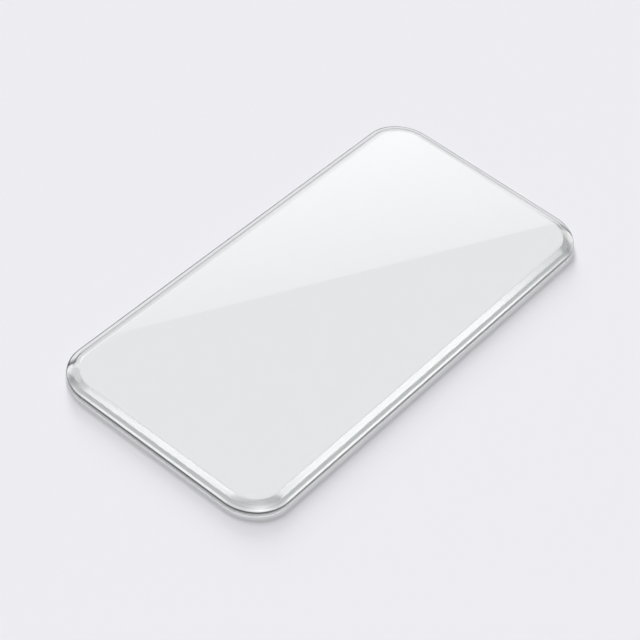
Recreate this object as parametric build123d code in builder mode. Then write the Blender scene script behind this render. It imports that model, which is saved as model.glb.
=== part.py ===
from build123d import *
import os

os.makedirs("parts", exist_ok=True)

# Sizes of the finished sheet, in millimetres
length = 146.0          # along Y, the way a phone stands
width = 69.5            # along X
thickness = 2.7         # from the underside up to the touch face
corner_radius = 11.3    # of the outline, seen from above

# Sizes of the ground edge
edge_width = 3.25       # how far the ground edge reaches in from the outline
edge_drop = 1.0         # how far it falls below the touch face
edge_start_angle = 6.0  # degrees by which it already slopes where it leaves the face
ridge_radius = 0.3      # polish round between the ground edge and the upright wall
arris = 0.15            # small flat broken on the lower rim
wheel_overrun = 1.0     # how far the grinding wheel stands proud of the glass

# Where the ground edge begins and ends, seen in a section across the right-hand side
face_rim = width / 2 - edge_width
wall_top = thickness - edge_drop
wheel_side = width / 2 + wheel_overrun
wheel_top = thickness + wheel_overrun
straight_side = length / 2 - corner_radius

# The outline that the blank is cut to and the grinding wheel follows
with BuildLine() as outline:
    right = Line((width / 2, -straight_side), (width / 2, straight_side))
    top_right = RadiusArc(right @ 1, (width / 2 - corner_radius, length / 2), -corner_radius)
    top = Line(top_right @ 1, (-width / 2 + corner_radius, length / 2))
    top_left = RadiusArc(top @ 1, (-width / 2, straight_side), -corner_radius)
    left = Line(top_left @ 1, (-width / 2, -straight_side))
    bottom_left = RadiusArc(left @ 1, (-width / 2 + corner_radius, -length / 2), -corner_radius)
    bottom = Line(bottom_left @ 1, (width / 2 - corner_radius, -length / 2))
    RadiusArc(bottom @ 1, right @ 0, -corner_radius)

with BuildPart() as screen_glass:
    # Flat blank, cut to the outline
    with BuildSketch():
        with BuildLine():
            add(outline.line)
        make_face()
    extrude(amount=thickness)

    # Ground edge: the glass that the wheel takes away, a curved wedge swept round the outline
    section = Plane(origin=(0, -straight_side, 0), x_dir=(1, 0, 0), z_dir=(0, -1, 0))
    with BuildSketch(section) as wedge:
        with BuildLine():
            leaving = Vector(1, 0).rotate(Axis.Z, -edge_start_angle)
            curve = TangentArc((face_rim, thickness), (width / 2, wall_top), tangent=leaving)
            Polyline(curve @ 1, (wheel_side, wall_top), (wheel_side, wheel_top), (face_rim, wheel_top), curve @ 0)
        make_face()
    sweep(path=outline.line, mode=Mode.SUBTRACT)

    # Polished ridge between the ground edge and the wall: the third level of edges, above the
    # lower rim and the seams of the wall
    ridge = screen_glass.edges().group_by(Axis.Z)[2]
    fillet(ridge, radius=ridge_radius)

    # Lower rim, broken so that it doesn't cut
    chamfer(screen_glass.faces().sort_by(Axis.Z)[0].edges(), length=arris)

screen_glass.part.label = "screen_glass"
export_step(screen_glass.part, "parts/screen_glass.step")
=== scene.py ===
import math

import bpy
from mathutils import Matrix, Vector


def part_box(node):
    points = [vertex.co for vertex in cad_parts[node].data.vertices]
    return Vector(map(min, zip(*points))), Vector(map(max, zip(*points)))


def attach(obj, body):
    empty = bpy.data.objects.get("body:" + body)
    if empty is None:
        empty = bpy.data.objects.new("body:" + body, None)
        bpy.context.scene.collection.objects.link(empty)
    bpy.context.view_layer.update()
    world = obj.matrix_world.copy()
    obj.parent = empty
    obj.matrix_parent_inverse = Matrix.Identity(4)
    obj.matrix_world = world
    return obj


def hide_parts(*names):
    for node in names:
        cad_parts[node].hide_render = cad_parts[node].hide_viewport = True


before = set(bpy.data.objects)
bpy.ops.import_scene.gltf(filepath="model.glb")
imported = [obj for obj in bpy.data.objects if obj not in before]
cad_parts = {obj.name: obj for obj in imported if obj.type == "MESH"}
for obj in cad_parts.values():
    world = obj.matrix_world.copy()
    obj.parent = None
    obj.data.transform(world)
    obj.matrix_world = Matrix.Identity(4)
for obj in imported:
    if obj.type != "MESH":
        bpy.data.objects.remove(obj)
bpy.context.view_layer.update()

# Glass sheet: one pane of clear tempered glass, cut to a rounded outline and laid face up.
# The rim of its face is ground to a shallow curve and polished, and the ridge below is rounded.
# The upright wall keeps a fine satin grind. The pane is one piece, with nothing fixed to it.
MM = 0.001
sheet_low, sheet_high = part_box("screen_glass")
sheet_width = sheet_high[0] - sheet_low[0]
sheet_length = sheet_high[1] - sheet_low[1]
sheet_thickness = sheet_high[2] - sheet_low[2]
corner_radius = 11.3 * MM
edge_width = 3.25 * MM
edge_drop = 1.0 * MM
edge_start_angle = math.radians(6.0)
ridge_radius = 0.3 * MM
arris = 0.15 * MM
outline_step = 0.6 * MM
corner_steps = 32
section_rows = 62
crease_angle = math.radians(4.0)
weld_distance = 0.001 * MM


class Wire:
    """A socket of a node tree: sums on wires add Math nodes, and made() adds a node of any other kind."""

    def __init__(self, tree, socket):
        self.tree = tree
        self.socket = socket

    @classmethod
    def made(cls, tree, kind, settings, sockets, output=0):
        node = tree.nodes.new(kind)
        for name, value in settings.items():
            if name == "stops":
                ramp = node.color_ramp
                while len(ramp.elements) < len(value):
                    ramp.elements.new(1.0)
                for element, (place, colour) in zip(ramp.elements, value):
                    element.position = place
                    element.color = colour
            else:
                setattr(node, name, value)
        for name, value in sockets.items():
            for part in value if isinstance(value, list) else [value]:
                if isinstance(part, Wire):
                    tree.links.new(part.socket, node.inputs[name])
                else:
                    node.inputs[name].default_value = part
        return cls(tree, node.outputs[output] if node.outputs else None)

    def output(self, name):
        return Wire(self.tree, self.socket.node.outputs[name])

    def math(self, operation, *others):
        sums = dict(enumerate((self, *others)))
        return Wire.made(self.tree, "ShaderNodeMath", {"operation": operation}, sums)

    def __add__(self, other):
        return self.math("ADD", other)

    __radd__ = __add__

    def __sub__(self, other):
        return self.math("SUBTRACT", other)

    def __rsub__(self, other):
        return self * -1.0 + other

    def __mul__(self, other):
        return self.math("MULTIPLY", other)

    __rmul__ = __mul__

    def __truediv__(self, other):
        return self.math("DIVIDE", other)

    def __pow__(self, other):
        return self.math("POWER", other)

    def __mod__(self, other):
        return self.math("FLOORED_MODULO", other)

    def __lt__(self, other):
        return self.math("LESS_THAN", other)

    def __gt__(self, other):
        return self.math("GREATER_THAN", other)

    def __abs__(self):
        return self.math("ABSOLUTE")

    def held(self, low=0.0, high=1.0):
        return self.math("MAXIMUM", low).math("MINIMUM", high)


# Heights that part the wall from the rounded ridge, and the underside from the wall
ridge_foot = 1.52 * MM
underside_level = 0.03 * MM

glass = bpy.data.materials.new("Clear tempered glass")
glass.use_nodes = True
finish = glass.node_tree
finish.nodes.clear()
spot = Wire.made(finish, "ShaderNodeTexCoord", {}, {}, "Object")
across = Wire.made(finish, "ShaderNodeSeparateXYZ", {}, {"Vector": spot}, "X")
height = across.output("Z")
beside = abs(across) - (sheet_width / 2 - corner_radius)
beyond = abs(across.output("Y")) - (sheet_length / 2 - corner_radius)
past_corner = (beside.math("MAXIMUM", 0.0) ** 2.0 + beyond.math("MAXIMUM", 0.0) ** 2.0).math("SQRT")
inset = corner_radius - past_corner - beside.math("MAXIMUM", beyond).math("MINIMUM", 0.0)

# Painted bands of the rim, by distance in from the outline: where each ends, its colour and how solid it
# looks
# Painted dark shade: the dark line at the ridge, the top of the wall and where the rim is drawn darker
painted_dark_shade = (0.07, 0.072, 0.073)
# From the outline in: painted dark line, pale painted highlight, grey painted shade, then darker and faint
# painted shade
rim_bands = [
    (0.06 * MM, painted_dark_shade, 0.95),
    (0.60 * MM, (0.64, 0.655, 0.66), 0.95),
    (1.58 * MM, (0.480, 0.495, 0.500), 0.90),
    (3.25 * MM, (0.152, 0.158, 0.161), 0.55),
    (3.75 * MM, (0.19, 0.20, 0.20), 0.06),
    (4.00 * MM, (0.60, 0.61, 0.61), 0.0),
]
band_blur = 0.03 * MM
rim_reach = rim_bands[-1][0]
near_stops = []
band_start = 0.0
for band_end, colour, solidity in rim_bands:
    for place in (band_start + band_blur, band_end - band_blur):
        near_stops.append((place / rim_reach, (*colour, solidity)))
    band_start = band_end
near_place = inset / rim_reach
near_rim = Wire.made(finish, "ShaderNodeValToRGB", {"stops": near_stops}, {"Fac": near_place}, "Color")

# The same rim seen at a glance: a thin painted dark outer line, and a painted dark inner line with painted
# shade behind it.
# They stand in for what the curved glass bends, by how far the surface turns from the view.
painted_line_dark = (0.06, 0.061, 0.061, 1.0)
inner_shade = [
    (0.98 * MM, 0.0),
    (1.03 * MM, 0.52),
    (1.12 * MM, 0.47),
    (1.24 * MM, 0.17),
    (1.62 * MM, 0.06),
    (1.95 * MM, 0.0),
]
far_stops = [(place / rim_reach, (solidity, solidity, solidity, 1.0)) for place, solidity in inner_shade]
facing = Wire.made(finish, "ShaderNodeLayerWeight", {}, {"Blend": 0.5}, "Facing")
lines_part_at = 0.53
parting_rate = 4.1
least_spread = 1.45
rise_off = (facing - lines_part_at).math("MAXIMUM", 0.0)
spread_out = rise_off * parting_rate + least_spread
far_place = near_place / spread_out
inner_line = Wire.made(finish, "ShaderNodeValToRGB", {"stops": far_stops}, {"Fac": far_place}, "Color")

# Where the bands give way to the lines: sooner towards the left and further in, as fitted to one view
lean_across = 3.2
lean_inwards = 30.0
glance_start = 0.44
glance_rate = 25.0
side_on = facing - across * lean_across + inset * lean_inwards
glance = ((side_on - glance_start) * glance_rate).held()
rim_solid = near_rim.output("Alpha") * (1 - glance)
on_wall = height < ridge_foot
inside = Wire.made(finish, "ShaderNodeNewGeometry", {}, {}, "Backfacing")
outside = (height > underside_level) * (1 - inside)

# From beneath, the rim shows through the pane, and rays of shadow and diffuse light pass it by
in_shadow = Wire.made(finish, "ShaderNodeLightPath", {}, {}, "Is Shadow Ray")
from_below = inside * (1 - on_wall) * (1 - in_shadow) * (1 - in_shadow.output("Is Diffuse Ray"))

# Tones of the wall from foot to ridge: a pale satin grey low down, darkened by painted shade towards the
# ridge
painted_wall_stops = [
    (0.00, (0.40, 0.41, 0.41, 0.40)),
    (0.45, (0.52, 0.53, 0.535, 0.65)),
    (0.66, (0.40, 0.41, 0.41, 0.92)),
    (0.87, (*painted_dark_shade, 0.95)),
    (1.00, (*painted_dark_shade, 0.95)),
]
wall = Wire.made(finish, "ShaderNodeValToRGB", {"stops": painted_wall_stops}, {"Fac": height / ridge_foot}, "Color")
# The rim's painted bands above the wall, and the wall's painted tones below the ridge
rim_painted_tones = Wire.made(finish, "ShaderNodeMix", {"data_type": "RGBA"}, {0: on_wall, 6: near_rim, 7: wall}, 2)

# Dusk: painted shade that darkens the rim where it turns from its near bands to its far lines
dusk_lean = 1.7
dusk_middle = 0.275
dusk_rate = 14.0
dusk_depth = 0.5
off_dusk = abs(facing - across * dusk_lean - dusk_middle)
painted_dusk = (1 - off_dusk * dusk_rate).math("MAXIMUM", 0.0) * (1 - on_wall) * dusk_depth
rim_with_painted_dusk = Wire.made(
    finish,
    "ShaderNodeMix",
    {"data_type": "RGBA"},
    {0: painted_dusk, 6: rim_painted_tones, 7: (*painted_dark_shade, 1.0)},
    2,
)
solid = (rim_solid * (1 - on_wall) + wall.output("Alpha") * on_wall) * outside.math("MAXIMUM", from_below)

# Painted dark ends of the far lines, where they run out into the two side corners
end_starts_at = 0.455
end_start_rate = 40.0
end_stops_at = 0.535
end_stop_rate = 25.0
corner_fade = 2.0 * MM
end_reach = 1.9 * MM
end_depth = 0.75
line_start = ((side_on - end_starts_at) * end_start_rate).held()
line_end = ((end_stops_at - side_on) * end_stop_rate).held()
in_corner = (beside.math("MINIMUM", beyond) / corner_fade).held()
painted_dark_end = line_start * line_end * (inset < end_reach) * in_corner * end_depth

# Strength of the two painted dark far lines: the outer one widens at a glance, and the inner one deepens
outer_width = 0.37 * MM
outer_growth = 0.75 * MM
outer_palest_at = 0.61
outer_rate = 11.0
outer_least = 0.33
head_on_at = 0.415
head_on_rate = 40.0
head_on_most = 0.7
inner_growth = 10.0
line_most = 0.97
outer_strength = abs(facing - outer_palest_at) * outer_rate + outer_least
outer_line = (inset < rise_off * outer_growth + outer_width) * outer_strength
head_on = ((head_on_at - facing) * head_on_rate).held(0.0, head_on_most)
inner_strength = rise_off * inner_growth + head_on + 1.0
far_solid = outer_line.math("MAXIMUM", inner_line * inner_strength).math("MINIMUM", line_most)
line_solid = far_solid.math("MAXIMUM", painted_dark_end) * glance * (1 - on_wall) * outside

# Satin grind of the wall, in fine lines that run round it
grind_scale = (150.0, 150.0, 9000.0)
grind_roughness = 0.35
grind_variation = 0.2
polish_roughness = 0.06
grain_place = Wire.made(finish, "ShaderNodeMapping", {}, {"Vector": spot, "Scale": grind_scale})
grain = Wire.made(finish, "ShaderNodeTexNoise", {}, {"Vector": grain_place, "Scale": 1.0, "Detail": 3.0})
wall_roughness = grind_roughness + grain * grind_variation
rim_roughness = on_wall * wall_roughness + (1 - on_wall) * polish_roughness

# Gloss of the face: faint unevenness of the oil-repelling film, and a mirror share that grows at a glance
film_scale = 40.0
film_roughness = 0.03
head_on_mirror = 0.07
glance_power = 5.0
film = Wire.made(finish, "ShaderNodeTexNoise", {}, {"Vector": spot, "Scale": film_scale, "Detail": 2.0})
face_roughness = film * film_roughness
mirror_share = (facing ** glance_power * (1 - head_on_mirror) + head_on_mirror) * outside

# The clear body, its mirror, the ground rim with its painted bands and shade, and the painted dark far
# lines, laid over each other
body_tint = (0.9925, 0.9965, 0.989, 1.0)
mirror_tint = (0.97, 1.0, 0.98, 1.0)
glass_index = 1.5
through = Wire.made(finish, "ShaderNodeBsdfTransparent", {}, {"Color": body_tint})
mirror = Wire.made(
    finish,
    "ShaderNodeBsdfPrincipled",
    {},
    {"Base Color": mirror_tint, "Metallic": 1.0, "Roughness": face_roughness},
)
# The ground rim: satin grind and polish as its roughness, the painted bands and painted shade as its colour
ground = Wire.made(
    finish,
    "ShaderNodeBsdfPrincipled",
    {},
    {"Base Color": rim_with_painted_dusk, "Roughness": rim_roughness, "IOR": glass_index, "Coat Weight": 1.0},
)
clear = Wire.made(finish, "ShaderNodeMixShader", {}, {0: mirror_share, 1: through, 2: mirror})
rimmed = Wire.made(finish, "ShaderNodeMixShader", {}, {0: solid, 1: clear, 2: ground})
# Painted dark of the far lines, a dim matt closure that stands in for shade in the bent glass
painted_dark_lines = Wire.made(finish, "ShaderNodeBsdfDiffuse", {}, {"Color": painted_line_dark})
pane = Wire.made(finish, "ShaderNodeMixShader", {}, {0: line_solid, 1: rimmed, 2: painted_dark_lines})
Wire.made(finish, "ShaderNodeOutputMaterial", {}, {"Surface": pane})

# The sheet's shape: a section of wall, ridge and ground curve carried round the outline, and two flat faces
sheet_sizes = {
    "Width": sheet_width,
    "Length": sheet_length,
    "Thickness": sheet_thickness,
    "Corner radius": corner_radius,
    "Edge width": edge_width,
    "Edge drop": edge_drop,
    "Edge start angle": edge_start_angle,
    "Ridge radius": ridge_radius,
    "Arris": arris,
    "Outline step": outline_step,
}
shape = bpy.data.node_groups.new("Ground-edge sheet", "GeometryNodeTree")
for name in sheet_sizes:
    shape.interface.new_socket(name, in_out="INPUT", socket_type="NodeSocketFloat")
shape.interface.new_socket("Section rows", in_out="INPUT", socket_type="NodeSocketInt")
shape.interface.new_socket("Glass", in_out="INPUT", socket_type="NodeSocketMaterial")
shape.interface.new_socket("Sheet", in_out="OUTPUT", socket_type="NodeSocketGeometry")
given = Wire.made(shape, "NodeGroupInput", {}, {})
radius = given.output("Corner radius")
core_x = given.output("Width") / 2.0 - radius
core_y = given.output("Length") / 2.0 - radius


def ring_point(point, inset, height):
    """Moves a point of the outline straight inwards to an inset, at a height."""
    x = Wire.made(shape, "ShaderNodeSeparateXYZ", {}, {"Vector": point}, "X")
    y = x.output("Y")
    near_x = x.math("MINIMUM", core_x).math("MAXIMUM", core_x * -1.0)
    near_y = y.math("MINIMUM", core_y).math("MAXIMUM", core_y * -1.0)
    out_x = x - near_x
    out_y = y - near_y
    share = (radius - inset) / (out_x * out_x + out_y * out_y).math("SQRT")
    places = {"X": near_x + out_x * share, "Y": near_y + out_y * share, "Z": height}
    return Wire.made(shape, "ShaderNodeCombineXYZ", {}, places)


blank = Wire.made(
    shape,
    "GeometryNodeCurvePrimitiveQuadrilateral",
    {},
    {"Width": given.output("Width"), "Height": given.output("Length")},
)
rounded = Wire.made(
    shape,
    "GeometryNodeFilletCurve",
    {"mode": "POLY"},
    {"Curve": blank, "Count": corner_steps, "Radius": radius},
)
outline = Wire.made(
    shape,
    "GeometryNodeResampleCurve",
    {"mode": "LENGTH"},
    {"Curve": rounded, "Length": given.output("Outline step")},
)
columns = Wire.made(
    shape,
    "GeometryNodeAttributeDomainSize",
    {"component": "CURVE"},
    {"Geometry": outline},
    "Point Count",
)
place = Wire.made(shape, "GeometryNodeInputPosition", {}, {})

# Section: the ridge is a small arc and the ground curve a large one, each set out by the way it faces
start = given.output("Edge start angle")
edge = given.output("Edge width")
drop = given.output("Edge drop")
ridge = given.output("Ridge radius")
half_turn = drop.math("ARCTAN2", edge) - start
bow = (edge * edge + drop * drop).math("SQRT") / (half_turn.math("SINE") * 2.0)
bow_inset = edge + bow * start.math("SINE")
bow_height = given.output("Thickness") - bow * start.math("COSINE")
between = bow - ridge
sideways = bow_inset - ridge
rise = (between * between - sideways * sideways).math("SQRT")
ridge_height = bow_height + rise
ridge_end = rise.math("ARCTAN2", sideways)

rows = given.output("Section rows")
index = Wire.made(shape, "GeometryNodeInputIndex", {}, {})
row = index % rows
column = (index / rows).math("FLOOR") % columns
lower_rim = row < 0.5
wall_foot = (row < 1.5) - lower_rim
upper = 1 - lower_rim - wall_foot
turn = (row - 2.0) / (rows - 3.0) * (math.pi / 2 - start)
on_bow = turn > ridge_end
arc_radius = ridge + on_bow * between
arc_inset = ridge + on_bow * sideways
arc_height = ridge_height - on_bow * rise
row_inset = upper * (arc_inset - arc_radius * turn.math("COSINE")) + lower_rim * given.output("Arris")
row_height = upper * (arc_height + arc_radius * turn.math("SINE")) + wall_foot * given.output("Arris")

lattice = Wire.made(
    shape,
    "GeometryNodeMeshGrid",
    {},
    {"Vertices X": columns + 1.0, "Vertices Y": rows},
)
on_outline = Wire.made(
    shape,
    "GeometryNodeSampleIndex",
    {"data_type": "FLOAT_VECTOR", "domain": "POINT"},
    {"Geometry": outline, "Value": place, "Index": column},
)
rim_band = Wire.made(
    shape,
    "GeometryNodeSetPosition",
    {},
    {"Geometry": lattice, "Position": ring_point(on_outline, row_inset, row_height)},
)


def flat_face(inset):
    """A flat face, filled inside the outline moved inwards."""
    ring = Wire.made(
        shape,
        "GeometryNodeSetPosition",
        {},
        {"Geometry": outline, "Position": ring_point(place, inset, 0.0)},
    )
    return Wire.made(shape, "GeometryNodeFillCurve", {"mode": "NGONS"}, {"Curve": ring})


lift = Wire.made(shape, "ShaderNodeCombineXYZ", {}, {"Z": given.output("Thickness")})
touch_face = Wire.made(shape, "GeometryNodeSetPosition", {}, {"Geometry": flat_face(edge), "Offset": lift})
underside = Wire.made(shape, "GeometryNodeFlipFaces", {}, {"Mesh": flat_face(given.output("Arris"))})
closed = Wire.made(shape, "GeometryNodeJoinGeometry", {}, {"Geometry": [rim_band, touch_face, underside]})
welded = Wire.made(
    shape,
    "GeometryNodeMergeByDistance",
    {},
    {"Geometry": closed, "Distance": weld_distance},
)
smooth = Wire.made(shape, "GeometryNodeSetShadeSmooth", {"domain": "FACE"}, {"Geometry": welded})
bend = Wire.made(shape, "GeometryNodeInputMeshEdgeAngle", {}, {}, "Unsigned Angle")
creased = Wire.made(
    shape,
    "GeometryNodeSetShadeSmooth",
    {"domain": "EDGE"},
    {"Geometry": smooth, "Selection": bend > crease_angle, "Shade Smooth": False},
)
real = Wire.made(shape, "GeometryNodeRealizeInstances", {}, {"Geometry": creased})
finished = Wire.made(
    shape,
    "GeometryNodeSetMaterial",
    {},
    {"Geometry": real, "Material": given.output("Glass")},
)
Wire.made(shape, "NodeGroupOutput", {}, {"Sheet": finished})

sheet = bpy.data.objects.new("glass_sheet", bpy.data.meshes.new("glass_sheet"))
bpy.context.scene.collection.objects.link(sheet)
maker = sheet.modifiers.new("Ground-edge sheet", "NODES")
maker.node_group = shape
sheet_inputs = {**sheet_sizes, "Section rows": section_rows, "Glass": glass}
for item in shape.interface.items_tree:
    if item.in_out == "INPUT":
        maker[item.identifier] = sheet_inputs[item.name]
made_sheet = sheet.evaluated_get(bpy.context.evaluated_depsgraph_get())
sheet.data = bpy.data.meshes.new_from_object(made_sheet)
sheet.modifiers.remove(maker)
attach(sheet, "root")
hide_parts("screen_glass")

# Floor: a plain pale studio table top, painted smooth and matt, wide enough to fill the view.
# The sheet lies on it with a hair of air beneath, as glass does.
floor_half = 3.0
floor_level = -0.03 * MM
floor_colour = (0.855, 0.847, 0.887, 1.0)
floor_mesh = bpy.data.meshes.new("floor")
floor_signs = ((-1, -1), (1, -1), (1, 1), (-1, 1))
floor_corners = [(x * floor_half, y * floor_half, floor_level) for x, y in floor_signs]
floor_mesh.from_pydata(floor_corners, [], [(0, 1, 2, 3)])
floor = bpy.data.objects.new("floor", floor_mesh)
bpy.context.scene.collection.objects.link(floor)
paint = bpy.data.materials.new("Matt pale paint")
paint.use_nodes = True
paint.node_tree.nodes.clear()
coat = Wire.made(
    paint.node_tree,
    "ShaderNodeBsdfPrincipled",
    {},
    {"Base Color": floor_colour, "Roughness": 1.0, "Specular IOR Level": 0.0},
)
Wire.made(paint.node_tree, "ShaderNodeOutputMaterial", {}, {"Surface": coat})
floor_mesh.materials.append(paint)

# Studio light: two wide soft lamps from behind on the left light the floor alone and cast the near shadow.
# A fill box hangs overhead, with a very wide soft box that lights the sheet alone.
# Lit cards, some of them slanted, hang under the ceiling and behind, and show in the glass as bright bands.
ceiling = 5.0
fill_wide = (0.02, 0.36)
fill_deep = (-0.14, 0.20)
fill_level = 4.0
fill = bpy.data.lights.new("fill_box", "AREA")
fill.shape = "RECTANGLE"
fill.size = (fill_wide[1] - fill_wide[0]) * ceiling
fill.size_y = (fill_deep[1] - fill_deep[0]) * ceiling
fill.energy = fill_level * math.pi * fill.size * fill.size_y
fill_box = bpy.data.objects.new("fill_box", fill)
fill_box.location = (sum(fill_wide) / 2 * ceiling, sum(fill_deep) / 2 * ceiling, ceiling)
fill_box.visible_camera = False
fill_box.visible_glossy = False
bpy.context.scene.collection.objects.link(fill_box)

# Each wide lamp by its turn from the left towards the back, its rise, its spread and its level
wide_lamps = {
    "key_lamp": (math.radians(37.2), math.radians(36.4), math.radians(28.2), 2.49),
    "low_lamp": (math.radians(44.2), math.radians(13.5), math.radians(16.8), 2.90),
}
lit_floor = bpy.data.collections.new("Lit by the wide lamps")
lit_floor.objects.link(floor)
for name, (turn_back, rise_up, spread, level) in wide_lamps.items():
    toward = Vector(
        (
            -math.cos(turn_back) * math.cos(rise_up),
            math.sin(turn_back) * math.cos(rise_up),
            math.sin(rise_up),
        )
    )
    lamp = bpy.data.lights.new(name, "SUN")
    lamp.angle = spread
    lamp.energy = level
    wide_lamp = bpy.data.objects.new(name, lamp)
    wide_lamp.rotation_euler = toward.to_track_quat("Z", "Y").to_euler()
    wide_lamp.visible_glossy = False
    wide_lamp.light_linking.receiver_collection = lit_floor
    bpy.context.scene.collection.objects.link(wide_lamp)

# Overhead box: a very wide soft box, which lights the sheet alone and every side of it alike
overhead_height = 6.0
overhead_size = 20.0
overhead_level = 0.9
overhead = bpy.data.lights.new("overhead_box", "AREA")
overhead.size = overhead_size
overhead.energy = overhead_level * math.pi * overhead_size * overhead_size
overhead_box = bpy.data.objects.new("overhead_box", overhead)
overhead_box.location = (0.0, 0.0, overhead_height)
overhead_box.visible_camera = False
overhead_box.visible_glossy = False
lit_sheet = bpy.data.collections.new("Lit by the overhead box")
lit_sheet.objects.link(sheet)
overhead_box.light_linking.receiver_collection = lit_sheet
bpy.context.scene.collection.objects.link(overhead_box)

card_paint = bpy.data.materials.new("Lit card")
card_paint.use_nodes = True
card_paint.node_tree.nodes.clear()
glow = Wire.made(card_paint.node_tree, "ShaderNodeAttribute", {"attribute_name": "glow"}, {}, "Fac")
shine = Wire.made(card_paint.node_tree, "ShaderNodeEmission", {}, {"Strength": glow})
unlit = Wire.made(card_paint.node_tree, "ShaderNodeBsdfTransparent", {}, {})
lit = Wire.made(card_paint.node_tree, "ShaderNodeAddShader", {}, {0: shine, 1: unlit})
Wire.made(card_paint.node_tree, "ShaderNodeOutputMaterial", {}, {"Surface": lit})


def lit_card(name, points, levels):
    """A card through pairs of points, each point with its level, that only shows as a reflection."""
    mesh = bpy.data.meshes.new(name)
    mesh.from_pydata(points, [], [(k, k + 1, k + 3, k + 2) for k in range(0, len(points) - 2, 2)])
    mesh.attributes.new("glow", "FLOAT", "POINT").data.foreach_set("value", levels)
    mesh.materials.append(card_paint)
    card = bpy.data.objects.new(name, mesh)
    card.visible_camera = False
    card.visible_diffuse = False
    card.visible_shadow = False
    bpy.context.scene.collection.objects.link(card)


# Ceiling cards: the places of each along its length, with their levels, and its two long sides
cards_across = {
    "left_card": (
        ((-0.72, 0.0), (-0.50, 2.8), (-0.44, 6.0), (-0.38, 6.0), (-0.31, 2.6), (-0.14, 0.0)),
        (0.00, 0.45),
    ),
    "front_strip": (((-0.53, 0.0), (-0.45, 3.4), (-0.39, 3.4), (-0.28, 0.0)), (-0.36, -0.24)),
    "left_corner_card": (((-1.90, 3.0), (-1.20, 3.0), (-1.10, 2.4), (-0.65, 2.4)), (0.15, 0.60)),
}
cards_along = {
    "right_card": (((0.57, 0.0), (0.69, 6.2), (0.88, 6.2), (1.02, 0.0)), (-0.23, 0.21)),
    "side_strip": (((0.66, 0.0), (0.76, 3.6), (1.00, 3.6), (1.12, 0.0)), (0.47, 0.63)),
}
for name, (places, sides) in cards_across.items():
    corners = [Vector((place, side, 1.0)) * ceiling for place, level in places for side in sides]
    lit_card(name, corners, [level for place, level in places for side in sides])
for name, (places, sides) in cards_along.items():
    corners = [Vector((side, place, 1.0)) * ceiling for place, level in places for side in sides]
    lit_card(name, corners, [level for place, level in places for side in sides])

# Front corner cards: two that meet along the line which the front corner mirrors, brighter towards its foot
corner_line = (
    ((-0.23, 0.49), 0.9),
    ((-0.08, 0.35), 1.4),
    ((0.03, 0.24), 2.2),
    ((0.21, 0.085), 4.3),
    ((0.38, -0.05), 4.0),
)
corner_lift = 1.02
corner_spread = 0.24
corner_height = ceiling * corner_lift
for side in (-corner_spread, corner_spread):
    corners = []
    levels = []
    for (x, y), level in corner_line:
        corners += [Vector((x, y, 1.0)) * corner_height, Vector((x + side, y + side, 1.0)) * corner_height]
        levels += [level, 0.0]
    lit_card("front_corner_card", corners, levels)

# Slanted ceiling cards: the two ends of each band, with its level
slanted_cards = {
    "far_side_card": (
        ((-0.80, 0.90), (-1.70, 1.30), 0.0),
        ((-0.80, 1.10), (-1.70, 1.50), 1.1),
        ((-0.80, 1.45), (-1.70, 2.00), 1.1),
    ),
    "right_corner_card": (
        ((-0.40, 1.15), (0.30, 1.95), 0.0),
        ((-0.40, 1.55), (0.30, 2.35), 2.1),
        ((-0.40, 5.00), (0.30, 5.00), 2.1),
    ),
}
for name, bands in slanted_cards.items():
    corners = [Vector((*place, 1.0)) * ceiling for *ends, level in bands for place in ends]
    lit_card(name, corners, [level for *ends, level in bands for place in ends])

# Back panel: a card low behind the sheet, whose slanted upper edge shows across the touch face
panel_left = Vector((-2.022, 2.841, 3.608))
panel_right = Vector((-1.457, 3.476, 3.314))
panel_faces = Vector((0.352, -0.628, -0.695))
along = (panel_right - panel_left).normalized()
down = along.cross(panel_faces).normalized()
panel_start = -1.1
# Each row of the panel by its depth, where it ends on the right, and its levels at the left and right
panel_rows = (
    (0.00, 1.06, (0.42, 0.98)),
    (0.31, 1.47, (2.16, 2.50)),
    (1.10, 2.53, (2.16, 0.90)),
)
panel_points = []
panel_levels = []
for depth, panel_end, levels in panel_rows:
    for end, level in zip((panel_start, panel_end), levels):
        panel_points.append(panel_left + along * end + down * depth)
        panel_levels.append(level)
lit_card("back_panel", panel_points, panel_levels)

# Room: an even, dim light from all round
room_level = 0.18
room = bpy.data.worlds.new("Room")
room.use_nodes = True
room.node_tree.nodes["Background"].inputs["Color"].default_value = (1.0, 1.0, 1.0, 1.0)
room.node_tree.nodes["Background"].inputs["Strength"].default_value = room_level
bpy.context.scene.world = room

# Camera: a long lens looking down on the sheet from the near right, turned a little on its axis.
# It stands a little over half a metre off, so the far sides shorten only slightly.
aim = Vector((1.730, -7.956, 1.700)) * MM
camera_distance = 574.79 * MM
camera_azimuth = math.radians(29.992)
camera_elevation = math.radians(45.355)
camera_roll = math.radians(-12.046)
lens = bpy.data.cameras.new("camera")
lens.lens = 122.8
lens.sensor_width = 36.0
camera = bpy.data.objects.new("camera", lens)
back = Vector(
    (
        math.sin(camera_azimuth) * math.cos(camera_elevation),
        -math.cos(camera_azimuth) * math.cos(camera_elevation),
        math.sin(camera_elevation),
    )
)
level_right = Vector((0.0, 0.0, 1.0)).cross(back).normalized()
level_up = back.cross(level_right)
up = level_up * math.cos(camera_roll) + level_right * math.sin(camera_roll)
right = up.cross(back)
turned = Matrix((right, up, back)).transposed().to_4x4()
camera.matrix_world = Matrix.Translation(aim + back * camera_distance) @ turned
bpy.context.scene.collection.objects.link(camera)
bpy.context.scene.camera = camera
bpy.context.scene.view_settings.view_transform = "Standard"
